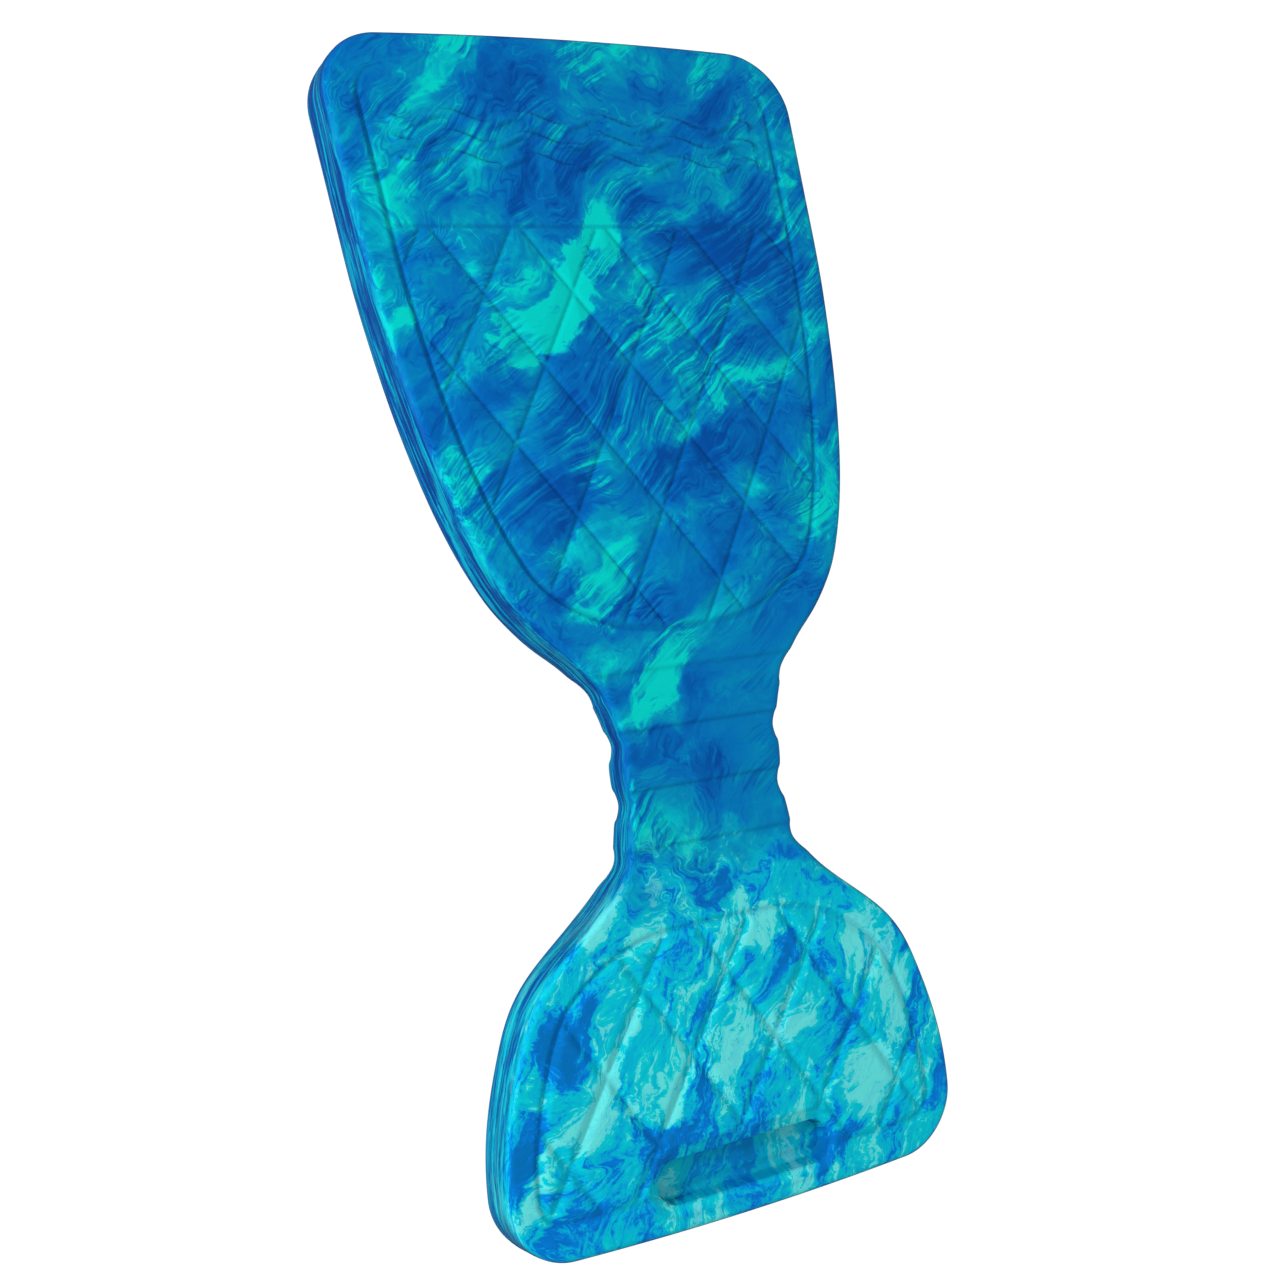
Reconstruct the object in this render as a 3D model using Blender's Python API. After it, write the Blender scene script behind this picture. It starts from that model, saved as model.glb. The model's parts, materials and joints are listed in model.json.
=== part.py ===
"""Hourglass foam float: two moulded foam plies joined on a mid-thickness bond line.

The board lies on its underside. +Z is the quilted face, +Y points to the large lobe, X is across.
It is described first as a flat board: x across, `along` its length, `height` through the
thickness (height 0 on the quilted face of the lobes, along 0 at mid length). arch() then bends
that flat board about X near the waist. The foam flexes at the ribbed waist, so both plies are
divided at the four channels and every channel carries one hinge line on the bond line.
"""
import math

import bmesh
import bpy
import numpy as np

for old in list(bpy.data.objects):
    bpy.data.objects.remove(old)

# ---- driving dimensions, metres -------------------------------------------------------------
LENGTH = 0.9144            # along the board, 36 in
THICK = 0.038              # lobes, 1.5 in
BOND_GAP = 0.0003          # between the two plies
EDGE_R = 0.006             # roll of the long edges and the ends
BAND = 0.0245              # plain border round the panels

# The two ends: side of mid length, corner radius, how far the crown bows outward
ENDS = ((1, 0.054, 0.006),     # large lobe
        (-1, 0.047, 0.007))    # small lobe
CROWN_RUN = 0.10           # length over which the crown fades in toward an end
CROWN_HALF_WIDTH = 0.21    # x at which the crown has fallen to nothing

# Waist
WAIST_THINNING = 0.009     # how much the underside rises at the waist
WAIST_DROP = 0.001         # how much the quilted side dips at the waist
WAIST_IN_FROM, WAIST_IN_RUN = -0.225, 0.055      # blend from the small lobe into the waist
WAIST_OUT_FROM, WAIST_OUT_RUN = -0.085, 0.075    # blend from the waist into the large lobe

# Sunken panels on the quilted face
PANELS = ((-0.017, 0.430), (-0.437, -0.236))     # ends of the large and the small panel
PANEL_DEPTH = 0.0018       # panels sit this far below the border
PANEL_STEP = 0.004         # width of the step down to the panel

# Waist channels, from the small lobe to the large
CHANNELS = (-0.1879, -0.1440, -0.0997, -0.0562)
CHANNEL_HALF = 0.0096      # half width of a channel floor
CHANNEL_WALL = 0.0030      # run of a channel wall
CHANNEL_DEPTH = 0.0030     # on the quilted side and on the edges
CHANNEL_DEPTH_UNDER = 0.0020

# Hinges
HINGE_GAP = 0.0003         # between two neighbours on the hinge line
HINGE_OPEN_DEG = 11.5      # lean of each cut face of the upper ply
HINGE_CLEAR = 0.0045       # no cross-section this close to a leaning face

# Arch
BEND_DEG = -12.4           # arch between the two lobes
BEND_FROM, BEND_TO = -0.1189, 0.0640   # stretch the arch is spread over
BEND_REACH = 0.52          # the arch is tabulated this far each way from mid length
BEND_SAMPLES = 4161

# Hand hold
POCKET_ALONG = -0.4255     # middle
POCKET_HALF_LENGTH = 0.078     # across the board, in x
POCKET_HALF_WIDTH = 0.0170
POCKET_DEPTH = 0.0125
POCKET_CUTTER_TOP = 0.010  # the cutter reaches this far above the face
POCKET_ARC_STEPS, POCKET_ARC_STEP_DEG = 12, 15   # each rounded end

# Spacing of the cross-sections
ROLL_ANGLES = (0, 30, 60, 90)
CORNER_ANGLES = (14, 28, 42, 56, 72, 90)
EVEN_SPACES = 19           # equal spaces along the whole length
SHOULDERS_FROM = (-0.335, -0.045)      # the two shoulders turn quickly
SHOULDER_STEP, SHOULDER_STATIONS = 0.012, 12
MIN_SPACE = 0.0007         # closer cross-sections are dropped

SHARP_DEG = 32             # edges turning more than this are shaded sharp

# Plain outline, mm: (along, half width)
OUTLINE_MM = (
    (-457.2, 199.4), (-407.6, 202.3), (-357.9, 197.1), (-308.2, 182.4), (-258.7, 153.2),
    (-209.0, 94.2), (-159.4, 72.0), (-109.7, 71.3), (-91.4, 72.5), (-73.2, 76.7),
    (-54.9, 86.4), (-36.6, 98.4), (-18.3, 117.0), (0.0, 133.0), (18.3, 145.7),
    (36.6, 154.9), (54.9, 162.5), (82.3, 171.8), (129.1, 183.6), (176.0, 192.3),
    (222.9, 198.6), (269.7, 203.2), (316.6, 205.7), (363.5, 207.9), (410.3, 210.0),
    (457.2, 212.0))

# Segments from the small lobe to the large: name, foam colour
RIB_COLOUR = (0.01, 0.30, 0.52)
SEGMENTS = (("small_lobe", (0.06, 0.44, 0.55)),
            ("waist_rib_3", RIB_COLOUR),
            ("waist_rib_2", RIB_COLOUR),
            ("waist_rib_1", RIB_COLOUR),
            ("large_lobe", (0.01, 0.24, 0.50)))
# Plies: name, brightness of the segment colour, roughness
PLIES = (("upper", 1.0, 0.62), ("lower", 0.8, 0.66))


# ---- outline of the flat board --------------------------------------------------------------
def smooth(t):
    """Ease from 0 to 1 as t goes from 0 to 1."""
    t = np.clip(t, 0.0, 1.0)
    return t * t * (3 - 2 * t)


def natural_spline(knots, values):
    """Second derivatives at the knots of the natural cubic through the values."""
    count = len(knots)
    matrix, right = np.zeros((count, count)), np.zeros(count)
    matrix[0, 0] = matrix[-1, -1] = 1.0
    for i in range(1, count - 1):
        before, after = knots[i] - knots[i - 1], knots[i + 1] - knots[i]
        matrix[i, i - 1:i + 2] = before, 2 * (before + after), after
        right[i] = 6 * ((values[i + 1] - values[i]) / after - (values[i] - values[i - 1]) / before)
    return np.linalg.solve(matrix, right)


KNOTS, KNOT_WIDTHS = np.array(OUTLINE_MM).T / 1000
KNOT_CURVES = natural_spline(KNOTS, KNOT_WIDTHS)


def plain_half_width(along):
    """Half width before the channels and the corners are taken off."""
    i = np.clip(np.searchsorted(KNOTS, along) - 1, 0, len(KNOTS) - 2)
    span = KNOTS[i + 1] - KNOTS[i]
    a, b = (KNOTS[i + 1] - along) / span, (along - KNOTS[i]) / span
    bulge = (a ** 3 - a) * KNOT_CURVES[i] + (b ** 3 - b) * KNOT_CURVES[i + 1]
    return a * KNOT_WIDTHS[i] + b * KNOT_WIDTHS[i + 1] + bulge * span * span / 6


def round_off(distance, radius):
    """How far a quarter round has cut back at a distance in from its edge."""
    distance = np.clip(distance, 0, radius)
    return radius - math.sqrt(max(radius ** 2 - (radius - distance) ** 2, 0))


def half_width(along):
    width = plain_half_width(along) - CHANNEL_DEPTH * channel(along)
    for side, corner, _ in ENDS:
        width -= round_off(LENGTH / 2 - side * along, corner)
    return float(width)


def crown(x, along):
    """How far a point near an end moves along the board to crown that end."""
    share = 1 - (x / CROWN_HALF_WIDTH) ** 2
    return sum(side * bow * share * smooth((side * along - LENGTH / 2 + CROWN_RUN) / CROWN_RUN)
               for side, _, bow in ENDS)


# ---- heights of the flat board --------------------------------------------------------------
def channel(along):
    """1 on a channel floor, 0 on the ribs and lobes."""
    return max(1 - smooth((abs(along - middle) - CHANNEL_HALF) / CHANNEL_WALL)
               for middle in CHANNELS)


def waist(along):
    """1 along the ribbed waist, 0 on the lobes."""
    return (smooth((along - WAIST_IN_FROM) / WAIST_IN_RUN)
            * (1 - smooth((along - WAIST_OUT_FROM) / WAIST_OUT_RUN)))


def panel(along):
    """How far down the panel floor is, as a share of PANEL_DEPTH."""
    return max(smooth((along - start) / PANEL_STEP) * smooth((end - along) / PANEL_STEP)
               for start, end in PANELS)


def quilted_face(along):
    return -WAIST_DROP * waist(along) - CHANNEL_DEPTH * channel(along)


def underside(along):
    return -THICK + WAIST_THINNING * waist(along) + CHANNEL_DEPTH_UNDER * channel(along)


def bond(along):
    return -THICK / 2 + (WAIST_THINNING - WAIST_DROP) / 2 * waist(along)


# ---- the arch -------------------------------------------------------------------------------
def running_sum(slope):
    """Integral of the slope over BEND_ALONG, zero at mid length."""
    steps = 0.5 * (slope[1:] + slope[:-1]) * np.diff(BEND_ALONG)
    total = np.concatenate([[0], np.cumsum(steps)])
    return total - np.interp(0, BEND_ALONG, total)


BEND_ALONG = np.linspace(-BEND_REACH, BEND_REACH, BEND_SAMPLES)
BEND_ANGLE = math.radians(BEND_DEG) * (smooth((BEND_ALONG - BEND_FROM) / (BEND_TO - BEND_FROM))
                                       - 0.5)
BEND_Y = running_sum(np.cos(BEND_ANGLE))
BEND_Z = running_sum(np.sin(BEND_ANGLE))


def arch(x, along, height):
    """Bend a point of the flat board into x, y, z."""
    angle, y, z = (np.interp(along, BEND_ALONG, table) for table in (BEND_ANGLE, BEND_Y, BEND_Z))
    return (x, y - height * np.sin(angle), z + height * np.cos(angle))


# ---- meshes ---------------------------------------------------------------------------------
def loft(name, rings, caps):
    """A closed solid through rings of points. Caps are index lists filling both end rings."""
    bm = bmesh.new()
    loops = [[bm.verts.new(point) for point in ring] for ring in rings]
    count = len(rings[0])
    for first, second in zip(loops, loops[1:]):
        for i in range(count):
            j = (i + 1) % count
            bm.faces.new((first[i], first[j], second[j], second[i]))
    for loop in (loops[0], loops[-1]):
        for cap in caps:
            bm.faces.new([loop[i] for i in cap])
    bmesh.ops.recalc_face_normals(bm, faces=bm.faces)
    mesh = bpy.data.meshes.new(name)
    bm.to_mesh(mesh)
    bm.free()
    solid = bpy.data.objects.new(name, mesh)
    bpy.context.scene.collection.objects.link(solid)
    return solid


def move_vertices(part, offset):
    for vertex in part.data.vertices:
        vertex.co = [value + change for value, change in zip(vertex.co, offset)]


# ---- one ply of one segment -----------------------------------------------------------------
ROLL = [EDGE_R * (1 - math.cos(math.radians(angle))) for angle in ROLL_ANGLES]


def columns(width):
    """The x of every column of points, from -width to width."""
    inner = width - BAND - PANEL_STEP
    right = [width - inset for inset in ROLL] + [width - BAND, inner, inner * 0.5]
    return [-x for x in right] + [0.0] + right[::-1]


def stations(start, end, lean_start, lean_end):
    """Places of the cross-sections: close together where the profile changes."""
    marks = {start, end}
    for side, corner, _ in ENDS:
        tip = side * LENGTH / 2
        marks |= {tip - side * corner * (1 - math.cos(math.radians(angle)))
                  for angle in CORNER_ANGLES}
        marks |= {tip - side * inset for inset in ROLL[1:]}
    for low, high in PANELS:
        marks |= {low, low + PANEL_STEP, high - PANEL_STEP, high}
    for middle in CHANNELS:
        for reach in (0, CHANNEL_WALL / 2, CHANNEL_WALL):
            marks |= {middle - (CHANNEL_HALF + reach), middle + (CHANNEL_HALF + reach)}
    most = EVEN_SPACES // 2
    marks |= {k * LENGTH / EVEN_SPACES for k in range(-most, most + 1)}
    for first in SHOULDERS_FROM:
        marks |= {first + k * SHOULDER_STEP for k in range(SHOULDER_STATIONS)}

    kept = [start]
    for mark in sorted(m for m in marks if start < m < end):
        if mark - kept[-1] < MIN_SPACE or end - mark < MIN_SPACE:
            continue
        if lean_start and mark < start + HINGE_CLEAR:
            continue
        if lean_end and mark > end - HINGE_CLEAR:
            continue
        kept.append(mark)
    return kept + [end]


def cross_section(along, upper, lean):
    """Ring of points: out along the bond line, back along the face. Lean tilts the section."""
    width = half_width(along)
    side = 1 if upper else -1
    seam = bond(along) + side * BOND_GAP / 2
    face = quilted_face(along) if upper else underside(along)
    seam_row, face_row = [], []
    for x in columns(width):
        inset = width - abs(x)
        height = face - side * round_off(min(inset, LENGTH / 2 - abs(along)), EDGE_R)
        if upper and inset >= BAND + PANEL_STEP - 1e-9:    # tolerance for the panel's edge column
            height -= PANEL_DEPTH * panel(along)
        seam_row.append((x, along, seam))
        face_row.append((x, along + lean * abs(height - seam), height))
    return [arch(x, place + crown(x, place), height)
            for x, place, height in seam_row + face_row[::-1]]


def build_ply(name, start, end, upper, lean_start, lean_end, material):
    """A closed ply. A leaning end opens away from its hinge line."""
    slope = math.tan(math.radians(HINGE_OPEN_DEG))
    rings = []
    for along in stations(start, end, lean_start, lean_end):
        lean = 0.0
        if lean_start and along == start:
            lean = slope
        if lean_end and along == end:
            lean = -slope
        rings.append(cross_section(along, upper, lean))
    count = len(rings[0])
    caps = [(i, i + 1, count - 2 - i, count - 1 - i) for i in range(count // 2 - 1)]
    part = loft(name, rings, caps)
    part.data.shade_smooth()
    part.data.set_sharp_from_angle(angle=math.radians(SHARP_DEG))
    part.data.materials.append(material)
    return part


def foam(name, colour, roughness):
    material = bpy.data.materials.new(name)
    material.use_nodes = True
    inputs = material.node_tree.nodes["Principled BSDF"].inputs
    inputs["Base Color"].default_value = (*colour, 1)
    inputs["Roughness"].default_value = roughness
    inputs["Metallic"].default_value = 0.0
    return material


def build_segments():
    """All plies by name, and the hinge place of each ply that has one at its +Y end."""
    parts, hinges = {}, {}
    divides = (-LENGTH / 2, *CHANNELS, LENGTH / 2)
    for (segment, colour), low, high in zip(SEGMENTS, divides, divides[1:]):
        cut_start, cut_end = low in CHANNELS, high in CHANNELS
        start = low + (HINGE_GAP / 2 if cut_start else 0)
        end = high - (HINGE_GAP / 2 if cut_end else 0)
        for layer, brightness, roughness in PLIES:
            shade = tuple(brightness * value for value in colour)
            material = foam(f"{segment}_{layer}_foam", shade, roughness)
            upper = layer == "upper"
            name = f"{segment}_{layer}_ply"
            parts[name] = build_ply(name, start, end, upper, upper and cut_start,
                                    upper and cut_end, material)
            if cut_end:
                hinges[name] = high
    return parts, hinges


# ---- the hand hold: a blind stadium pocket in the small lobe's upper ply ---------------------
def pocket_ring(height):
    ring = []
    for side in (1, -1):
        for k in range(POCKET_ARC_STEPS + 1):
            angle = math.radians(-90 + POCKET_ARC_STEP_DEG * k)
            x = side * (POCKET_HALF_LENGTH - POCKET_HALF_WIDTH
                        + POCKET_HALF_WIDTH * math.cos(angle))
            along = POCKET_ALONG + side * POCKET_HALF_WIDTH * math.sin(angle)
            ring.append(arch(x, along, height))
    return ring


def carve_pocket(target):
    rings = [pocket_ring(-POCKET_DEPTH), pocket_ring(POCKET_CUTTER_TOP)]
    cutter = loft("pocket_cutter", rings, [range(len(rings[0]))])
    cut = target.modifiers.new("hand_hold", "BOOLEAN")
    cut.operation = "DIFFERENCE"
    cut.solver = "EXACT"
    cut.object = cutter
    bpy.context.view_layer.update()
    evaluated = target.evaluated_get(bpy.context.evaluated_depsgraph_get())
    carved = bpy.data.meshes.new_from_object(evaluated)
    target.modifiers.clear()
    target.data = carved
    bpy.data.objects.remove(cutter)


# ---- placing --------------------------------------------------------------------------------
def stand_on_ground(parts):
    """Centre the board in x and y with its lowest point at z = 0, and return the shift."""
    points = np.array([vertex.co for part in parts for vertex in part.data.vertices])
    low, high = points.min(axis=0), points.max(axis=0)
    shift = -(low + high) / 2
    shift[2] = -low[2]
    for part in parts:
        move_vertices(part, shift)
    return shift


def set_origin(part, origin):
    move_vertices(part, -origin)
    part.location = origin


plies, hinge_places = build_segments()
carve_pocket(plies["small_lobe_upper_ply"])
board_shift = stand_on_ground(plies.values())
# Each moving segment's origin sits on the hinge line at its large-lobe end.
for ply_name, place in hinge_places.items():
    set_origin(plies[ply_name], np.array(arch(0.0, place, bond(place))) + board_shift)
bpy.context.view_layer.update()
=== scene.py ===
"""A foam board with a large and a small lobe and a narrow ribbed waist, in two plies.

It is shaped as a flat sheet (x across, s along, h through), then arched over the waist:
s runs along +y towards the large lobe, and h = 0 is the quilted face, which looks up (+z).
"""
import json
import math

import bmesh
import bpy
import numpy as np
from mathutils import Matrix, Vector, kdtree


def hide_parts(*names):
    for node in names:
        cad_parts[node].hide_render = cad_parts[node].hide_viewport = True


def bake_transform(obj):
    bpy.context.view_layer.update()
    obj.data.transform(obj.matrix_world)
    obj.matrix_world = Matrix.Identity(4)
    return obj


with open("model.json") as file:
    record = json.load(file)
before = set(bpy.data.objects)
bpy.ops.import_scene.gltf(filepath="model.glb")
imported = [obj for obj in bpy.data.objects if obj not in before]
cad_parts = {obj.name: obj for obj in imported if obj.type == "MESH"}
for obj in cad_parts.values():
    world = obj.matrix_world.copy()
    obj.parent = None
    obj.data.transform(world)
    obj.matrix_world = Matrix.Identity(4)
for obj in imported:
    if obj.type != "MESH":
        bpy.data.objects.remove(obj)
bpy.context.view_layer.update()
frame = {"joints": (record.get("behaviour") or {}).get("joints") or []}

# ---- Measures of the flat sheet, in metres ---------------------------------------------------
LENGTH, THICK = 0.9144, 0.038
WAIST_THINNING, WAIST_DROP = 0.009, 0.001       # rise of the underside, fall of the upper face
SEAM_GAP = 0.0003                               # between the plies
EDGE_R = 0.006
FACE_MARGIN = 0.0118                            # from the edge to the even columns of a face
CORNER_LARGE, CORNER_SMALL = 0.054, 0.047
BOW_LARGE, BOW_SMALL, BOW_REACH, BOW_HALF_WIDTH = 0.006, 0.007, 0.10, 0.21
BAND = 0.0245                                   # plain border round the panels
CHANNELS = (-0.0562, -0.0997, -0.1440, -0.1879)
CHANNEL_HALF, CHANNEL_WALL, CHANNEL_DEPTH, CHANNEL_UNDER = 0.0096, 0.0030, 0.0021, 0.0020
BEND_DEG, BEND_FROM, BEND_TO = -12.4, -0.1189, 0.0640
LOBE_SPLIT = -0.10                              # panel measures change here
LARGE_PANEL_FOOT, RULE_S = -0.0187, 0.3036
SMALL_PANEL_TOP, SMALL_PANEL_FOOT = -0.2360, -0.4372
QUILT_SLOPE, QUILT_PITCH, QUILT_START = 1.558, 0.1170, 0.0750
WAVE_S, WAVE_SPACING, WAVE_HEIGHT, WAVE_LENGTH = 0.3730, 0.0170, 0.0046, 0.0660
POCKET_S, POCKET_A, POCKET_B = -0.4255, 0.078, 0.0170     # hand hold: place, half sizes
POCKET_R = POCKET_B * 0.96
POCKET_DISH, POCKET_WELL = 0.0034, 0.0093       # depth of its soft rim, then of its well
LOWER_DEPTH = THICK + 0.004                     # texture depth of the underside
# half width at stations along the board: (s, half width) in millimetres
OUTLINE_MM = (
    (-457.2, 199.4), (-407.6, 202.3), (-357.9, 197.1), (-308.2, 182.4), (-258.7, 153.2),
    (-209.0, 94.2), (-159.4, 72.0), (-109.7, 71.3), (-91.4, 72.5), (-73.2, 76.7), (-54.9, 86.4),
    (-36.6, 98.4), (-18.3, 117.0), (0.0, 133.0), (18.3, 145.7), (36.6, 154.9), (54.9, 162.5),
    (82.3, 171.8), (129.1, 183.6), (176.0, 192.3), (222.9, 198.6), (269.7, 203.2),
    (316.6, 205.7), (363.5, 207.9), (410.3, 210.0), (457.2, 212.0))


# ---- Profiles --------------------------------------------------------------------------------
def ramp(v, start, run):
    """Smooth rise from 0 at start to 1 at start + run."""
    t = np.clip((v - start) / run, 0.0, 1.0)
    return t * t * (3 - 2 * t)


def groove(d, half, wall):
    """1 on a groove's floor (|d| < half), falling to 0 over wall."""
    return 1 - ramp(np.abs(d), half, wall)


def bell(v, at, width):
    return np.exp(-((v - at) / width) ** 2)


def smin(a, b, blend):
    """Smaller of two distances, with a rounded corner."""
    t = np.clip(0.5 + 0.5 * (b - a) / blend, 0, 1)
    return a * t + b * (1 - t) - blend * t * (1 - t)


def by_lobe(s, large, small):
    return np.where(s > LOBE_SPLIT, large, small)


def wobble(x, s, seed, scale):
    """Slow smooth irregularity of moulded foam, from a few fixed waves."""
    rng = np.random.RandomState(seed)
    total = 0.0 * x
    for _ in range(9):
        angle = rng.uniform(0, 2 * math.pi)
        freq = scale * rng.uniform(0.6, 1.6)
        phase = rng.uniform(0, 6.28)
        total = total + np.sin(freq * (np.cos(angle) * x + np.sin(angle) * s) + phase)
    return total / 9


def edge_roll(d):
    """Drop of a face at distance d inside its rounded edge."""
    left = EDGE_R - np.clip(d, 0, EDGE_R)
    return np.maximum(EDGE_R - np.sqrt(np.maximum(EDGE_R ** 2 - left ** 2, 0)), 0)


def channel(s, soft):
    """1 in the cross channels of the waist; soft widens and eases their walls."""
    half = CHANNEL_HALF - (soft - 1) * 0.002
    return np.maximum.reduce([groove(s - c, half, CHANNEL_WALL * soft) for c in CHANNELS])


def waist(s):
    return ramp(s, -0.225, 0.055) * (1 - ramp(s, -0.085, 0.075))


def underside(s):
    return -THICK + WAIST_THINNING * waist(s) + CHANNEL_UNDER * channel(s, 1.6)


def bond(s):
    """Height of the joint between the plies."""
    return -THICK / 2 + (WAIST_THINNING - WAIST_DROP) / 2 * waist(s)


# ---- Outline ---------------------------------------------------------------------------------
def natural_spline(xs, ys):
    """Second derivatives of the natural cubic spline through the points."""
    n = len(xs)
    matrix, right = np.zeros((n, n)), np.zeros(n)
    matrix[0, 0] = matrix[-1, -1] = 1.0
    for i in range(1, n - 1):
        before, after = xs[i] - xs[i - 1], xs[i + 1] - xs[i]
        matrix[i, i - 1:i + 2] = before, 2 * (before + after), after
        right[i] = 6 * ((ys[i + 1] - ys[i]) / after - (ys[i] - ys[i - 1]) / before)
    return np.linalg.solve(matrix, right)


KNOT_S, KNOT_W = np.array(OUTLINE_MM).T / 1000
KNOT_CURVE = natural_spline(KNOT_S, KNOT_W)


def plain_half_width(s):
    i = np.clip(np.searchsorted(KNOT_S, s) - 1, 0, len(KNOT_S) - 2)
    span = KNOT_S[i + 1] - KNOT_S[i]
    a, b = (KNOT_S[i + 1] - s) / span, (s - KNOT_S[i]) / span
    curve = (a ** 3 - a) * KNOT_CURVE[i] + (b ** 3 - b) * KNOT_CURVE[i + 1]
    return a * KNOT_W[i] + b * KNOT_W[i + 1] + curve * span * span / 6


def half_width(s):
    """Half width with valleys at the channels and rounded corners at both ends."""
    w = plain_half_width(s) - sum(0.0036 * bell(s, c, 0.0098) for c in CHANNELS)
    for r, sign in ((CORNER_LARGE, 1), (CORNER_SMALL, -1)):
        d = np.clip(LENGTH / 2 - s * sign, 0, r)
        w = w - r + np.sqrt(np.maximum(r * r - (r - d) ** 2, 0))
    return w


def crown(x, s):
    """Shift along s that bows both ends outward."""
    k = 1 - (x / BOW_HALF_WIDTH) ** 2
    start = LENGTH / 2 - BOW_REACH
    return k * (BOW_LARGE * ramp(s, start, BOW_REACH) - BOW_SMALL * ramp(-s, start, BOW_REACH))


def outline_loop():
    turn = 1 - np.cos(np.linspace(0, np.pi / 2, 90))
    s = np.concatenate([LENGTH / 2 - CORNER_LARGE * turn, -LENGTH / 2 + CORNER_SMALL * turn,
                        np.arange(-LENGTH / 2, LENGTH / 2, 0.0012)])
    s = np.unique(np.round(s, 7))
    w = half_width(s)
    across = np.linspace(-1, 1, 220)[1:-1]
    loop = np.concatenate([np.stack([w, s], 1),
                           np.stack([-w[-1] * across, np.full(218, s[-1])], 1),
                           np.stack([-w[::-1], s[::-1]], 1),
                           np.stack([w[0] * across, np.full(218, s[0])], 1)])
    loop[:, 1] += crown(loop[:, 0], loop[:, 1])
    return loop


LOOP = outline_loop()
TREE = kdtree.KDTree(len(LOOP))
for i, (x, s) in enumerate(LOOP):
    TREE.insert((x, s, 0), i)
TREE.balance()


def edge_distance(x, s):
    """Distance to the outline: the nearer of the two segments at the nearest loop point."""
    points = np.stack([x.ravel(), s.ravel()], 1)
    near = np.array([TREE.find((a, b, 0))[1] for a, b in points.tolist()])
    best = np.full(len(points), 9.0)
    for shift in (-1, 0):
        a, b = (LOOP[(near + shift + k) % len(LOOP)] for k in (0, 1))
        e = b - a
        t = np.clip(((points - a) * e).sum(1) / np.maximum((e * e).sum(1), 1e-18), 0, 1)
        best = np.minimum(best, np.linalg.norm(points - a - t[:, None] * e, axis=1))
    return best.reshape(x.shape)


# ---- Arch: the sheet's slope along s, summed into y and z ------------------------------------
def running_sum(v, places):
    """Trapezoid integral, zero at s = 0."""
    total = np.concatenate([[0], np.cumsum(0.5 * (v[1:] + v[:-1]) * np.diff(places))])
    return total - np.interp(0, places, total)


ARCH_S = np.linspace(-0.52, 0.52, 4161)
ARCH_ANGLE = math.radians(BEND_DEG) * (ramp(ARCH_S, BEND_FROM, BEND_TO - BEND_FROM) - 0.5)
ARCH_Y = running_sum(np.cos(ARCH_ANGLE), ARCH_S)
ARCH_Z = running_sum(np.sin(ARCH_ANGLE), ARCH_S)


def arch_from_origin(x, s, h):
    angle, y, z = (np.interp(s, ARCH_S, v) for v in (ARCH_ANGLE, ARCH_Y, ARCH_Z))
    return np.stack([x, y - h * np.sin(angle), z + h * np.cos(angle)], -1)


# the joint flex_1 lies on the bond line under the first channel
HINGE = next(j["pos_m"] for j in frame["joints"] if j["name"] == "flex_1")
SHIFT = np.array(HINGE) - arch_from_origin(0.0, CHANNELS[0], float(bond(np.array(CHANNELS[0]))))


def arch(x, s, h):
    return arch_from_origin(x, s, h) + SHIFT


# ---- Relief of the upper face: each part gives (height, mask of painted groove shade) --------
def waist_channels(s, d):
    """Channels and the fine lines along both their lips, the lines also darkened with painted
    shade.
    """
    lip = np.maximum.reduce([bell(s, c + sign * (CHANNEL_HALF + 0.0002), 0.0012)
                             for c in CHANNELS for sign in (-1, 1)])
    h = -CHANNEL_DEPTH * channel(s, 1.9) * (0.75 + 0.25 * ramp(d, 0, 0.02))
    return h - 0.0006 * lip * ramp(d, 0, 0.004), 0.16 * lip


def panel_distance(x, s, d):
    """Distance inside the border of either lobe's panel."""
    large = smin(d - BAND, (s - LARGE_PANEL_FOOT - 1.55 * x * x) * 0.96, 0.030)
    small = smin(d - BAND + 0.002, SMALL_PANEL_TOP - s - 0.35 * x * x, 0.028)
    return by_lobe(s, large, smin(small, s - SMALL_PANEL_FOOT, 0.012))


def panel_border(s, inside):
    """Line round each panel, darkened with painted shade, fading at the far end of the large
    lobe.
    """
    fade = np.where(s > 0.40, 1 - 0.85 * ramp(s, 0.395, 0.035), 1.0)
    line = groove(inside - 0.0022, 0.0007, 0.0026) * fade
    h = -by_lobe(s, 0.0017, 0.0012) * line - 0.0007 * ramp(inside, 0, 0.004)
    return h, by_lobe(s, 0.75, 0.45) * line


def panel_rule(s, inside):
    """Straight line across the large panel, beyond the quilting, darkened with painted shade."""
    rule = groove(s - RULE_S, 0.0002, 0.0020) * ramp(inside, 0.004, 0.006)
    return -0.0011 * rule, 0.9 * rule


def lattice_distance(x, s):
    """Distance to the nearest line of two crossing families."""
    k = math.sqrt(1 + QUILT_SLOPE ** 2)
    turns = [(s + sign * QUILT_SLOPE * x - QUILT_START) / QUILT_PITCH for sign in (1, -1)]
    return np.minimum(*[np.abs(u - np.round(u)) * QUILT_PITCH / k for u in turns])


def quilting(x, s, inside, pocket):
    """Diamond lines with a soft pillow in each cell; the lines get painted shade."""
    area = ramp(inside, 0.0035, 0.003) * ramp(pocket, 0.007, 0.004)
    area = area * (1 - ramp(s, RULE_S - 0.004, 0.004))
    nearest = lattice_distance(x, s)
    line = groove(nearest, 0.0009, 0.0017) * area
    near = np.minimum(nearest, np.maximum(inside - 0.003, 0))
    pillow = by_lobe(s, ramp(near, 0, 0.014), ramp(near, 0.0012, 0.0062)) * area
    h = by_lobe(s, 0.0012, 0.0018) * pillow - by_lobe(s, 0.0011, 0.0008) * line
    return h, by_lobe(s, 0.17, 0.12) * line


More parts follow.
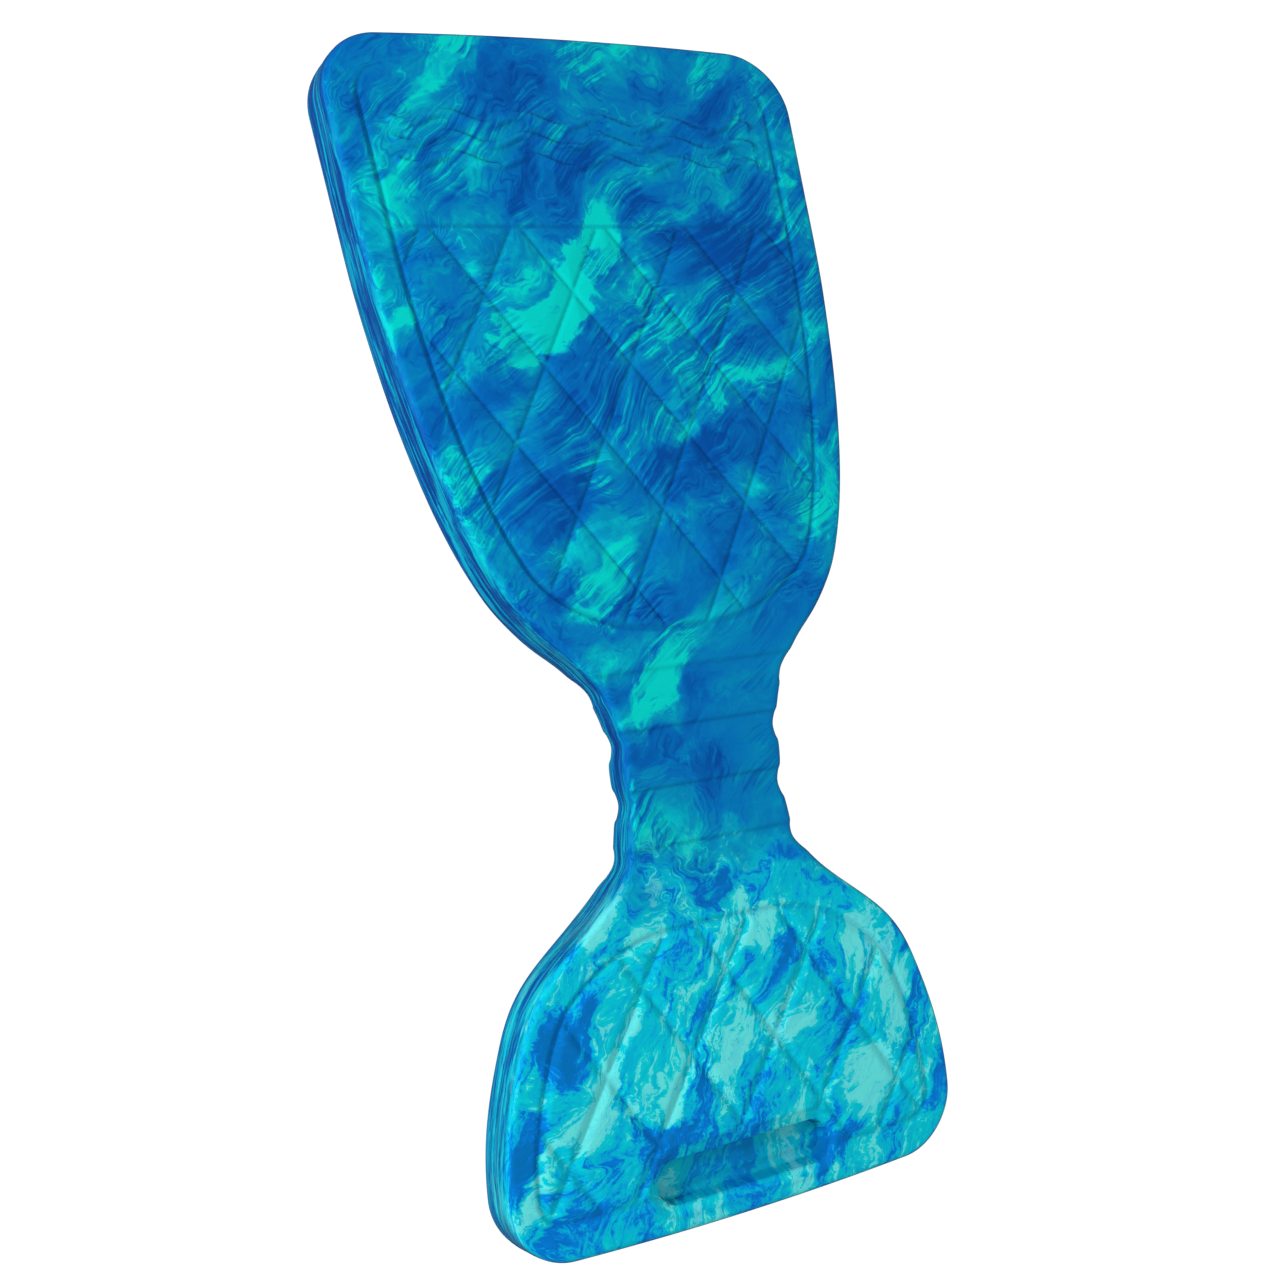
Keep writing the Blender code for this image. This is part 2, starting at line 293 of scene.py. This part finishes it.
def waves(x, s):
    """Three raised wave lines in the plain field of the large lobe, with painted shade on their
    slopes.
    """
    k = 2 * math.pi / WAVE_LENGTH
    middle = WAVE_S + WAVE_HEIGHT * np.sin(k * x)
    slope = WAVE_HEIGHT * k * np.cos(k * x)
    wave = np.maximum.reduce([
        groove((s - middle - WAVE_SPACING * i) / np.sqrt(1 + slope ** 2), 0.0020, 0.0018)
        for i in (-1, 0, 1)])
    wave = wave * groove(x, 0.160, 0.004)
    return 0.0024 * wave, 0.44 * (1 - np.abs(2 * wave - 1))


def pocket_distance(x, s):
    """Distance outside (positive) or inside (negative) the hand hold's rim."""
    dx = np.abs(x) - (POCKET_A - POCKET_R)
    ds = np.abs(s - POCKET_S) - (POCKET_B - POCKET_R)
    outside = np.hypot(np.maximum(dx, 0), np.maximum(ds, 0))
    return outside + np.minimum(np.maximum(dx, ds), 0) - POCKET_R


def hand_hold(pocket, sunk):
    h = -POCKET_DISH * (1 - ramp(pocket, 0.0004, 0.0082)) ** 1.3 - POCKET_WELL * sunk
    # painted shade: a dark line just inside the rim and a fainter one round the outer lip
    mask = np.maximum(bell(pocket, -0.0006, 0.0016), 0.45 * bell(pocket, 0.0088, 0.0016))
    return h, mask


def quilted_face(x, s, d):
    """Height, mask of painted groove shade and mask of painted shade in the hand hold, for the
    upper face at d inside the edge.
    """
    inside, pocket = panel_distance(x, s, d), pocket_distance(x, s)
    # sunk also masks the painted shade inside the hand hold
    sunk = ramp(-pocket, 0, 0.0026)
    heights, masks = zip(waist_channels(s, d), panel_border(s, inside), panel_rule(s, inside),
                         quilting(x, s, inside, pocket), waves(x, s), hand_hold(pocket, sunk))
    h = sum(heights) - WAIST_DROP * waist(s) - edge_roll(d)
    h = h + 0.00022 * wobble(x, s, 5, 95.0) * ramp(d, 0, 0.01)
    return h, np.maximum.reduce(masks), sunk


def plain_face(x, s, d):
    """The same three values for the underside: a border line with painted shade on each lobe, no
    hand hold.
    """
    line = groove(np.where((s > -0.02) | (s < -0.225), d - BAND, 1.0), 0.0006, 0.0022)
    h = underside(s) + edge_roll(d) + 0.0008 * line
    h = h - 0.00018 * wobble(x, s, 8, 90.0) * ramp(d, 0, 0.01)
    return h, line * 0.7, 0 * h


# ---- One ply of one piece --------------------------------------------------------------------
# columns near the side edges: degrees round the edge radius, then metres inward
RIM_DEG, RIM_INWARD = [0, 14, 28, 42, 56, 72, 90], [0.0078, 0.0098]
# rings of an edge wall: share of the way to the seam, outward bulge, waviness, painted groove
# shade (a dark line at the seam)
WALL_RINGS = ((0.22, 0.00018, 0.00025, 0), (0.48, 0.00030, 0.00025, 0),
              (0.74, 0.00020, 0.00025, 0), (0.90, 0, 0, 0), (0.955, -0.00012, 0, 0),
              (1.0, -0.0008, 0, 1))


class Shell:
    """Points of a mesh with their texture places and painted-shade masks, and its faces."""

    def __init__(self):
        self.points, self.rest, self.masks, self.faces = [], [], [], []
        self.count = 0

    def add(self, points, rest, masks):
        """Store an array of points and return their numbers."""
        for store, values in ((self.points, points), (self.rest, rest), (self.masks, masks)):
            store.append(values.reshape(-1, values.shape[-1]))
        shape = points.shape[:-1]
        start, self.count = self.count, self.count + math.prod(shape)
        return np.arange(start, self.count).reshape(shape)

    def strip(self, a, b):
        self.faces += np.stack([a[:-1], a[1:], b[1:], b[:-1]], -1).tolist()

    def wall(self, rim, x, s, top, mid_s, upper):
        """Rings from a line of rim points to the seam; returns the rings' point numbers."""
        tx, ts = np.gradient(x), np.gradient(s)
        size = np.hypot(tx, ts) + 1e-12
        nx, ns = ts / size, -tx / size
        outward = np.sign((nx * x).sum() + (ns * (s - mid_s)).sum())
        seam = bond(s) + (1 if upper else -1) * SEAM_GAP / 2
        waviness = wobble(x, s, 3 if upper else 4, 70.0)
        rings = [rim]
        for share, bulge, wavy, mask in WALL_RINGS:
            h = top + (seam - top) * share
            out = (bulge + wavy * waviness) * outward
            rings.append(self.add(arch(x + nx * out, s + ns * out, h), np.stack([x, s, -h], -1),
                                  np.stack([0 * x + mask, 0 * x], -1)))
        for a, b in zip(rings, rings[1:]):
            self.strip(a, b)
        return rings

    def mesh(self, name):
        mesh = bpy.data.meshes.new(name)
        mesh.from_pydata(np.concatenate(self.points).tolist(), [], self.faces)
        at = mesh.attributes.new("rest", "FLOAT_VECTOR", "POINT")
        at.data.foreach_set("vector", np.concatenate(self.rest).astype(np.float32).ravel())
        masks = np.concatenate(self.masks).astype(np.float32)
        # the masks of painted shade become point attributes
        for k, label in enumerate(("groove", "sunk")):
            at = mesh.attributes.new(label, "FLOAT", "POINT")
            at.data.foreach_set("value", masks[:, k].copy())
        bm = bmesh.new()
        bm.from_mesh(mesh)
        bmesh.ops.recalc_face_normals(bm, faces=bm.faces)
        bm.to_mesh(mesh)
        bm.free()
        mesh.shade_smooth()
        mesh.set_sharp_from_angle(angle=math.radians(52))
        return mesh


def row_places(lo, hi, step):
    """Even rows, with rows following the corner radius at the board's ends."""
    rows = np.linspace(lo, hi, max(2, int(round((hi - lo) / step)) + 1))
    turn = 1 - np.cos(np.radians(np.arange(0, 38.1, 2.6)))
    if hi == LENGTH / 2:
        rows = np.append(rows[rows < hi - FACE_MARGIN], hi - CORNER_LARGE * turn)
    if lo == -LENGTH / 2:
        rows = np.append(rows[rows > lo + 0.0104], lo + CORNER_SMALL * turn)
    return np.sort(rows)


def flat_grid(lo, hi, step):
    rows = row_places(lo, hi, step)
    w = half_width(rows)[:, None]
    rim = np.append(EDGE_R * (1 - np.cos(np.radians(RIM_DEG))), RIM_INWARD)
    across = np.linspace(-1, 1, int(round(2 * (w.max() - FACE_MARGIN) / step)) + 1)
    x = np.concatenate([rim - w, (w - FACE_MARGIN) * across, w - rim[::-1]], 1)
    s = np.repeat(rows[:, None], x.shape[1], 1)
    return x, s + crown(x, s)


def follow_pocket(x, s, step):
    """Pull grid points onto the rim and the foot of the hand hold."""
    for level in (0.0, -0.0026):
        p = pocket_distance(x, s)
        slope_x = (pocket_distance(x + 1e-5, s) - p) / 1e-5
        slope_s = (pocket_distance(x, s + 1e-5) - p) / 1e-5
        take = np.abs(p - level) < 0.62 * step
        x = np.where(take, x - slope_x * (p - level), x)
        s = np.where(take, s - slope_s * (p - level), s)
    return x, s


def build(name, lo, hi, upper, step):
    """A face, walls down or up to the seam, a flat seam side and flat cut ends."""
    large_end, small_end = hi == LENGTH / 2, lo == -LENGTH / 2
    x, s = flat_grid(lo, hi, step)
    if upper and small_end:
        x, s = follow_pocket(x, s, step)
    d = edge_distance(x, s)
    d[:, 0] = d[:, -1] = 0
    if large_end:
        d[-1] = 0
    if small_end:
        d[0] = 0
    h, mask, sunk = (quilted_face if upper else plain_face)(x, s, d)
    depth = edge_roll(d) if upper else LOWER_DEPTH - edge_roll(d)
    shell = Shell()
    grid = shell.add(arch(x, s, h), np.stack([x, s, depth], -1), np.stack([mask, sunk], -1))
    for a, b in zip(grid, grid[1:]):
        shell.strip(a, b)

    def wall(r, c):
        return shell.wall(grid[r, c], x[r, c], s[r, c], h[r, c], (lo + hi) / 2, upper)

    nr, nc = x.shape
    rows = np.arange(nr)
    left, right = np.zeros(nr, int), np.full(nr, nc - 1)
    end = None
    if large_end or small_end:
        # one wall: out along the -x side, across the end, back along the +x side
        order = rows if large_end else rows[::-1]
        rings = wall(np.concatenate([order, np.full(nc - 2, order[-1]), order[::-1]]),
                     np.concatenate([left, np.arange(1, nc - 1), right]))
        sides = [(ring[:nr][order], ring[-nr:][::-1][order]) for ring in rings]
        end = rings[-1][nr - 1:nr + nc - 1].tolist()
        cuts = [order[0]]
    else:
        sides = list(zip(wall(rows, left), wall(rows, right)))
        cuts = [0, nr - 1]
    a, b = sides[-1]
    shell.faces += np.stack([a[:-1], b[:-1], b[1:], a[1:]], -1).tolist()
    if end:
        shell.faces.append(end)
    for cut in cuts:
        shell.faces.append(grid[cut].tolist() + [int(b[cut]) for a, b in sides[1:]]
                           + [int(a[cut]) for a, b in reversed(sides[1:])])
    o = bpy.data.objects.new(name, shell.mesh(name))
    bpy.context.scene.collection.objects.link(o)
    return o


# ---- Shader helpers --------------------------------------------------------------------------
def srgb(*rgb):
    """Linear colour from 0-255 sRGB."""
    return tuple(((c / 255 + 0.055) / 1.055) ** 2.4 if c > 10 else c / 255 / 12.92
                 for c in rgb) + (1,)


def put(socket, value):
    if isinstance(value, Signal):
        socket.id_data.links.new(value.socket, socket)
    else:
        socket.default_value = value


def add_node(tree, kind, out=0, props=None, **inputs):
    """Add a node; inputs go by name, or by number as i0, i1 and so on."""
    node = tree.nodes.new(kind)
    for key, value in (props or {}).items():
        setattr(node, key, value)
    for key, value in inputs.items():
        numbered = key[0] == "i" and key[1:].isdigit()
        put(node.inputs[int(key[1:]) if numbered else key.replace("_", " ")], value)
    return Signal(node.outputs[out])


class Signal:
    """A node output; arithmetic on it adds maths nodes, for numbers or vectors by its type."""

    def __init__(self, socket):
        self.socket = socket

    def node(self, kind, out=0, props=None, **inputs):
        return add_node(self.socket.id_data, kind, out, props, **inputs)

    def calc(self, operation, a, b=0.0, clamp=False):
        if self.socket.type == "VALUE":
            props = {"operation": operation, "use_clamp": clamp}
            return self.node("ShaderNodeMath", 0, props, i0=a, i1=b)
        return self.node("ShaderNodeVectorMath", 0, {"operation": operation}, i0=a, i1=b)

    def __add__(self, other):
        return self.calc("ADD", self, other)

    def __radd__(self, other):
        return self.calc("ADD", other, self)

    def __sub__(self, other):
        return self.calc("SUBTRACT", self, other)

    def __rsub__(self, other):
        return self.calc("SUBTRACT", other, self)

    def __mul__(self, other):
        return self.calc("MULTIPLY", self, other)

    def __abs__(self):
        return self.calc("ABSOLUTE", self)

    def max(self, other):
        return self.calc("MAXIMUM", self, other)

    def scaled(self, k):
        return self.node("ShaderNodeVectorMath", 0, {"operation": "SCALE"}, i0=self, Scale=k)

    def step(self, start, end):
        """Smooth rise from 0 at start to 1 at end."""
        return self.node("ShaderNodeMapRange", 0, {"interpolation_type": "SMOOTHSTEP"},
                         Value=self, From_Min=start, From_Max=end)

    def noise(self, scale, detail=3.0, rough=0.5, out=0):
        return self.node("ShaderNodeTexNoise", out, Vector=self, Scale=scale, Detail=detail,
                         Roughness=rough)

    def warp(self, scale, detail, amount, rough=0.5):
        """Push a vector about by coloured noise."""
        return self + (self.noise(scale, detail, rough, out=1) - (0.5, 0.5, 0.5)).scaled(amount)

    def centred(self, swing):
        return (self - 0.5) * swing

    def turned(self, deg):
        return self.node("ShaderNodeMapping", Vector=self, Rotation=(0, 0, math.radians(deg)))

    def ellipse(self, x, s, half_length, half_width, deg):
        """Distance from an ellipse's middle, 1 at its rim; sizes in metres of sheet."""
        local = self.node(
            "ShaderNodeMapping", 0, {"vector_type": "TEXTURE"}, Vector=self,
            Location=(PER_METRE * x, PER_METRE * s, 0), Rotation=(0, 0, math.radians(deg)),
            Scale=(PER_METRE * half_length, PER_METRE * half_width, 40))
        return self.node("ShaderNodeVectorMath", 1, {"operation": "LENGTH"}, i0=local)

    def areas(self, table, reach):
        """Sum of soft elliptical areas of tone, each fading out at reach times its size."""
        total = None
        for *shape, tone in table:
            value = self.ellipse(*shape).step(reach, 0.72) * tone
            total = total + value if total else value
        return total

    def ramp(self, stops):
        node = self.socket.id_data.nodes.new("ShaderNodeValToRGB")
        elements = node.color_ramp.elements
        while len(elements) < len(stops):
            elements.new(0.5)
        for element, (place, colour) in zip(elements, stops):
            element.position = place
            element.color = colour
        put(node.inputs[0], self)
        return Signal(node.outputs[0])

    def mix(self, a, b):
        """Colour a where this is 0, b where it is 1."""
        return self.node("ShaderNodeMix", 2, {"data_type": "RGBA"}, i0=self, i6=a, i7=b)

    def mix_vectors(self, a, b):
        return self.node("ShaderNodeMix", 1, {"data_type": "VECTOR"}, i0=self, i4=a, i5=b)


# ---- Marbled foam ----------------------------------------------------------------------------
PER_METRE = 10.0           # texture units across the sheet
PER_METRE_DEPTH = 75.0     # depth counts for more, so the edges show fine lengthwise streaks
TEAL = srgb(0, 160, 178)
LARGE_STOPS = [(0.315, srgb(0, 68, 142)), (0.385, srgb(0, 86, 158)), (0.44, srgb(0, 101, 168)),
               (0.485, srgb(0, 114, 168)), (0.535, srgb(0, 132, 170)), (0.580, TEAL),
               (0.615, srgb(0, 188, 180))]
SMALL_STOPS = [(0.35, srgb(0, 101, 168)), (0.425, srgb(0, 112, 200)),
               (0.445, srgb(0, 136, 198)), (0.478, srgb(0, 164, 196)),
               (0.552, srgb(0, 180, 190)), (0.588, srgb(10, 190, 196)),
               (0.602, srgb(88, 204, 202))]
EDGE_STOPS = [(0.38, srgb(0, 40, 98)), (0.44, srgb(0, 64, 124)), (0.475, srgb(0, 84, 140)),
              (0.505, srgb(0, 108, 148)), (0.535, srgb(0, 132, 156)),
              (0.575, srgb(0, 152, 160)), (0.65, TEAL)]
# light and dark areas of each lobe: x, s, half length, half width, degrees, tone
LARGE_AREAS = [
    (-0.072, 0.226, 0.052, 0.025, 34, 0.210), (-0.022, 0.272, 0.060, 0.025, 50, 0.205),
    (0.160, 0.366, 0.050, 0.030, 60, -0.085), (0.090, 0.236, 0.070, 0.011, 36, -0.060),
    (0.062, 0.160, 0.060, 0.010, 34, 0.080), (-0.100, 0.438, 0.045, 0.018, 35, 0.085),
    (-0.107, 0.353, 0.034, 0.022, 60, 0.085), (-0.064, 0.022, 0.044, 0.020, 38, 0.135),
    (-0.040, -0.058, 0.056, 0.015, 34, 0.105), (0.108, 0.182, 0.048, 0.020, 24, 0.075),
    (0.175, 0.318, 0.034, 0.012, 75, 0.085), (-0.196, 0.222, 0.020, 0.015, 40, 0.100),
    (-0.170, 0.120, 0.022, 0.014, 40, 0.100), (0.082, 0.288, 0.056, 0.024, 34, -0.085),
    (-0.090, 0.082, 0.044, 0.022, 22, -0.100), (-0.150, 0.262, 0.036, 0.022, 50, -0.080),
    (0.030, 0.105, 0.050, 0.026, 30, -0.060), (-0.180, 0.160, 0.034, 0.016, 60, -0.080),
    (0.030, 0.390, 0.100, 0.045, 5, -0.030), (-0.046, -0.102, 0.030, 0.012, 30, -0.085)]
SMALL_AREAS = [
    (0.001, -0.328, 0.030, 0.021, 55, 0.120), (0.034, -0.250, 0.024, 0.014, 60, 0.110),
    (0.119, -0.296, 0.030, 0.013, 66, 0.120), (0.160, -0.330, 0.036, 0.017, 68, 0.130),
    (0.118, -0.384, 0.030, 0.017, 66, 0.110), (-0.118, -0.350, 0.042, 0.014, 68, 0.120),
    (-0.054, -0.352, 0.034, 0.012, 72, 0.100), (-0.064, -0.226, 0.036, 0.013, 62, 0.110),
    (-0.104, -0.214, 0.032, 0.012, 52, 0.100), (-0.172, -0.402, 0.026, 0.009, 60, 0.080),
    (-0.140, -0.300, 0.042, 0.020, 62, -0.130), (-0.182, -0.376, 0.034, 0.014, 76, -0.130),
    (-0.012, -0.240, 0.050, 0.008, 62, -0.110), (-0.034, -0.372, 0.050, 0.010, 64, -0.090),
    (0.060, -0.270, 0.026, 0.014, 20, -0.110), (0.084, -0.436, 0.036, 0.012, 40, -0.110),
    (0.176, -0.276, 0.040, 0.009, 118, -0.100), (-0.078, -0.416, 0.050, 0.012, 55, -0.090)]


def along_streaks(v, deg, stretch):
    """Turn a vector so that x runs along a streak, then stretch its pattern."""
    return v.turned(deg) * stretch


def streakiness(bent_long, curled, placed, small):
    """How streaky: most in a broken band across the large lobe, some in patches."""
    band = placed.ellipse(0.035, 0.205, 0.23, 0.055, 37).step(start=1.35, end=0.5)
    gaps = (bent_long * (1.0, 1.0, 1.0)).noise(scale=2.4, rough=0.6).step(start=0.40, end=0.56)
    patches = curled.noise(scale=1.8, detail=2.5).step(start=0.50, end=0.60)
    return (band * gaps * 1.0).max(patches * 0.75).max(small * 0.45)


def curls(curled, ruffled):
    """Dark and light hairlines that follow the borders of the patches."""
    field = along_streaks(curled.warp(scale=4.5, detail=2.0, amount=0.13), -38, (0.50, 1.55, 0.9))
    turns = field.noise(scale=1.7, detail=2.5) * 19.0
    loop = abs(turns.calc("FRACT", turns) - 0.5)
    hair = loop.step(start=0.24, end=0.02) * ruffled.noise(scale=3.4).step(start=0.47, end=0.62)
    light = ruffled.noise(scale=2.9, detail=2.0).step(start=0.48, end=0.60)
    return hair, loop.step(start=0.40, end=0.49) * light


def edge_colour(curled, tone):
    """Fine lengthwise streaks."""
    run = (curled * (0.55, 0.55, 1.9)).noise(scale=2.4, detail=5.0, rough=0.68)
    return (run.centred(1.45) + 0.470 + tone * 0.35).ramp(EDGE_STOPS)


def foam():
    mat = bpy.data.materials.new("marbled_foam")
    mat.use_nodes = True
    tree = mat.node_tree
    rest = add_node(tree, "ShaderNodeAttribute", 1, {"attribute_name": "rest"})
    # masks of painted shade: in grooves, along lips and seams, and inside the hand hold
    groove_shade_mask, hand_hold_shade_mask = (add_node(tree, "ShaderNodeAttribute", 2, {"attribute_name": label})
                              for label in ("groove", "sunk"))
    split = tree.nodes.new("ShaderNodeSeparateXYZ")
    put(split.inputs[0], rest)
    x, s, depth = map(Signal, split.outputs)
    sheet = add_node(tree, "ShaderNodeCombineXYZ", X=x * PER_METRE, Y=s * PER_METRE,
                     Z=depth * PER_METRE_DEPTH)
    small = 1.0 - (s + sheet.noise(scale=3.0, detail=2.0).centred(0.12)).step(-0.240, -0.160)

    # flow: a slow bend, then smaller and smaller curls
    bent = sheet.warp(scale=0.55, detail=1.0, amount=0.95)
    curled = bent.warp(scale=1.9, detail=2.0, amount=0.42)
    ruffled = curled.warp(scale=6.0, detail=4.0, amount=0.24, rough=0.60)
    frayed = ruffled.warp(scale=26.0, detail=2.0, amount=0.020)
    # streaks rise towards +x, steeper on the small lobe
    flow = small.mix_vectors(along_streaks(frayed, -35, (0.62, 1.45, 0.9)),
                             along_streaks(frayed, -62, (0.85, 1.90, 1.1)))
    bent_long = sheet.warp(scale=0.50, detail=1.0, amount=0.80)
    bent_long = bent_long.warp(scale=2.2, detail=2.0, amount=0.17)
    streak = small.mix_vectors(along_streaks(bent_long, -37, (0.34, 1.75, 0.9)),
                               along_streaks(ruffled, -62, (0.85, 1.90, 1.1)))
    # areas are placed on the sheet, then roughened by the same curls as the streaks
    placed = sheet + (frayed - bent).scaled(1.15)

    # layers of tone
    body = flow.noise(scale=1.45, detail=5.0, rough=0.55)
    broad = bent.noise(scale=0.95, detail=2.0)
    streaky = streakiness(bent_long, curled, placed, small)
    lines = (streak * (0.80, 4.6, 1.6)).noise(scale=2.3, rough=0.66)
    fine = (streak * (1.0, 11.0, 3.0)).noise(scale=2.6, detail=2.0, rough=0.6)
    grain = (ruffled * (1.0, 1.0, 0.6)).noise(scale=16.0, detail=4.0, rough=0.72)
    veins = (streak * (0.50, 5.2, 1.6)).noise(scale=1.9, detail=2.0, rough=0.55)
    ridge = veins.calc("SUBTRACT", 1.0, abs(veins - 0.5) * 11.0, clamp=True)
    vein = ridge.calc("POWER", ridge, 1.6) * streaky
    hair, glint = curls(curled, ruffled)
    tone = body.centred(0.80) + broad.centred(0.14)
    tone = tone + lines.centred(0.86) * (streaky + 0.06)
    tone = tone + (glint - hair) * 0.042
    tone = tone + fine.centred(0.24) * streaky

    # each lobe's tone about the middle of its own colours
    large_tone = tone + 0.486 + (placed.areas(LARGE_AREAS, reach=1.12) + grain.centred(0.09))
    large_tone = large_tone + (glint - hair * 1.2) * 0.024
    # the +x half of the waist is plainer
    ragged = curled.noise(scale=2.6, detail=4.0, rough=0.6).centred(0.13)
    plain = (x + ragged).step(-0.014, 0.026) * (s.step(0.02, -0.05) * (1.0 - small))
    large_tone = (large_tone - 0.485) * (1.0 - plain * 0.65) + 0.485
    small_tone = (tone * 0.90 + 0.510
                  + (placed.areas(SMALL_AREAS, reach=1.15) + grain.centred(0.30)))
    colour = small.mix(large_tone.ramp(LARGE_STOPS), small_tone.ramp(SMALL_STOPS))
    vein_colour = small.mix(srgb(0, 68, 144), srgb(0, 104, 190))
    colour = (vein * (0.70 - small * 0.30)).mix(colour, vein_colour)
    edge = depth.step(0.0015, 0.0055) * (1.0 - depth.step(0.0372, 0.0408))
    colour = (edge * (0.94 - small * 0.22)).mix(colour, edge_colour(curled, tone))
    # painted shade as darker tints: the large lobe's rolled edge, inside the hand hold, the
    # grooves, and skin that turns away from the view
    # painted shade darkening the large lobe's rolled edge
    rolled_edge_shade = depth.step(0.0002, 0.0024) * (1.0 - small)
    # painted shade: darker skin where the surface turns away from the view, a dark rim along the
    # silhouettes
    turn = add_node(tree, "ShaderNodeLayerWeight", 1, Blend=0.5).step(0.42, 0.88)
    for where, strength, tint in ((rolled_edge_shade, 0.26, srgb(0, 66, 140)),
                                  (hand_hold_shade_mask, 0.42, srgb(0, 112, 146)),
                                  (groove_shade_mask, 0.42, srgb(0, 70, 138)),
                                  (turn, 0.72, srgb(0, 52, 112))):
        colour = (where * strength).mix(colour, tint)

    # fine skin, coarser peel and raised streaks, heights in metres
    rise = sheet.noise(scale=150.0, detail=2.0, rough=0.6) * 0.00005
    rise = rise + sheet.noise(scale=22.0, detail=2.0) * 0.0003 + lines * 0.0005
    inputs = tree.nodes["Principled BSDF"].inputs
    put(inputs["Base Color"], colour)
    put(inputs["Roughness"], 0.50 + sheet.noise(scale=9.0) * 0.16)
    put(inputs["Specular IOR Level"], 0.03)
    put(inputs["Normal"],
        add_node(tree, "ShaderNodeBump", Strength=0.5, Distance=1.0, Height=rise))
    return mat


# ---- Pieces, from the large lobe down, cut midway between channels ---------------------------
PIECES = ("large_lobe", "waist_upper", "waist_lower", "small_lobe")
BODIES = ("large_lobe", "waist_rib_1", "waist_rib_2", "waist_rib_3", "small_lobe")
CUTS = [LENGTH / 2, *[(a + b) / 2 for a, b in zip(CHANNELS, CHANNELS[1:])], -LENGTH / 2]
STEP = 0.0017
LOWER_STEP, WAIST_STEP = 0.0030, 0.0012
BLEND_REACH = 0.017        # to each side of a piece's channel

FOAM = foam()
for k, piece in enumerate(PIECES):
    bodies = BODIES[k:k + 2]
    for ply, upper in (("upper", True), ("lower", False)):
        step = STEP if upper else max(STEP, LOWER_STEP)
        if piece.startswith("waist"):
            step = min(step, WAIST_STEP)
        o = build("%s_%s_foam" % (piece, ply), CUTS[k + 1], CUTS[k], upper, step)
        o.data.materials.append(FOAM)
        start, end = (tuple(arch(0.0, s, float(bond(np.array(s)))))
                      for s in (CHANNELS[k] + BLEND_REACH, CHANNELS[k] - BLEND_REACH))
        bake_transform(o)
        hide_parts(*["%s_%s_ply" % (body, ply) for body in sorted(bodies)])

# ---- Camera ----------------------------------------------------------------------------------
YAW, PITCH, ROLL = 0.5425, -0.0545, 0.1594      # radians
EYE = (-0.0372, -0.0295, 1.5624)                # right, up, back, in board lengths


def view_rotation():
    """Rows are the camera's right, up and back."""
    (cy, sy), (cp, sp), (cr, sr) = ((math.cos(a), math.sin(a)) for a in (YAW, PITCH, ROLL))
    return (np.array([[cr, -sr, 0], [sr, cr, 0], [0, 0, 1]])
            @ np.array([[1, 0, 0], [0, cp, -sp], [0, sp, cp]])
            @ np.array([[cy, 0, sy], [0, 1, 0], [-sy, 0, cy]]))


TO_WORLD = view_rotation().T
cam = bpy.data.objects.new("camera", bpy.data.cameras.new("camera"))
bpy.context.scene.collection.objects.link(cam)
eye = TO_WORLD @ (np.array(EYE) * LENGTH) + SHIFT
cam.matrix_world = Matrix.Translation(eye.tolist()) @ Matrix(TO_WORLD.tolist()).to_4x4()
cam.data.sensor_width = 36.0
cam.data.lens = 53.4375
cam.data.clip_start, cam.data.clip_end = 0.05, 50.0
bpy.context.scene.camera = cam


# ---- Light and floor -------------------------------------------------------------------------
def lamp(name, direction, distance, size, power):
    """A disk lamp, its direction in the camera's frame: right, up, towards the viewer."""
    towards = Vector(TO_WORLD @ np.array(direction, float)).normalized()
    light = bpy.data.lights.new(name, "AREA")
    light.shape, light.size, light.energy = "DISK", size, power
    o = bpy.data.objects.new(name, light)
    o.location = Vector((0, 0, 0.05)) + towards * distance
    o.rotation_euler = towards.to_track_quat("Z", "Y").to_euler()
    bpy.context.scene.collection.objects.link(o)


def camera_strength(tree, socket, extra, base):
    """Strength base, with extra added where the camera sees it directly."""
    path = Signal(tree.nodes.new("ShaderNodeLightPath").outputs["Is Camera Ray"])
    put(socket, add_node(tree, "ShaderNodeMath", 0, {"operation": "MULTIPLY_ADD"},
                         i0=path, i1=extra, i2=base))


def studio_world():
    world = bpy.data.worlds.new("studio")
    bpy.context.scene.world = world
    world.use_nodes = True
    background = world.node_tree.nodes["Background"]
    background.inputs[0].default_value = (1, 1, 1, 1)
    camera_strength(world.node_tree, background.inputs[1], extra=0.42, base=0.61)


def pale_floor():
    """A dull grey surface that also glows."""
    mat = bpy.data.materials.new("pale_floor")
    mat.use_nodes = True
    tree = mat.node_tree
    tree.nodes.remove(tree.nodes["Principled BSDF"])
    glow = tree.nodes.new("ShaderNodeEmission")
    chalk = add_node(tree, "ShaderNodeBsdfDiffuse", Color=(0.16, 0.16, 0.16, 1))
    camera_strength(tree, glow.inputs[1], extra=0.35, base=0.58)
    both = add_node(tree, "ShaderNodeAddShader", i0=Signal(glow.outputs[0]), i1=chalk)
    put(tree.nodes["Material Output"].inputs[0], both)
    return mat


def floor_sheet():
    bm = bmesh.new()
    bmesh.ops.create_grid(bm, x_segments=4, y_segments=4, size=7.0)
    mesh = bpy.data.meshes.new("floor")
    bm.to_mesh(mesh)
    bm.free()
    floor = bpy.data.objects.new("floor", mesh)
    floor.location = (0, 0, -0.0006)
    bpy.context.scene.collection.objects.link(floor)
    mesh.materials.append(pale_floor())


lamp("key", direction=(-0.80, 0.16, 0.92), distance=2.2, size=0.35, power=48)
lamp("fill", direction=(0.8, -0.1, 1.0), distance=2.6, size=2.0, power=17)
studio_world()
floor_sheet()
bpy.context.scene.view_settings.view_transform = "Standard"
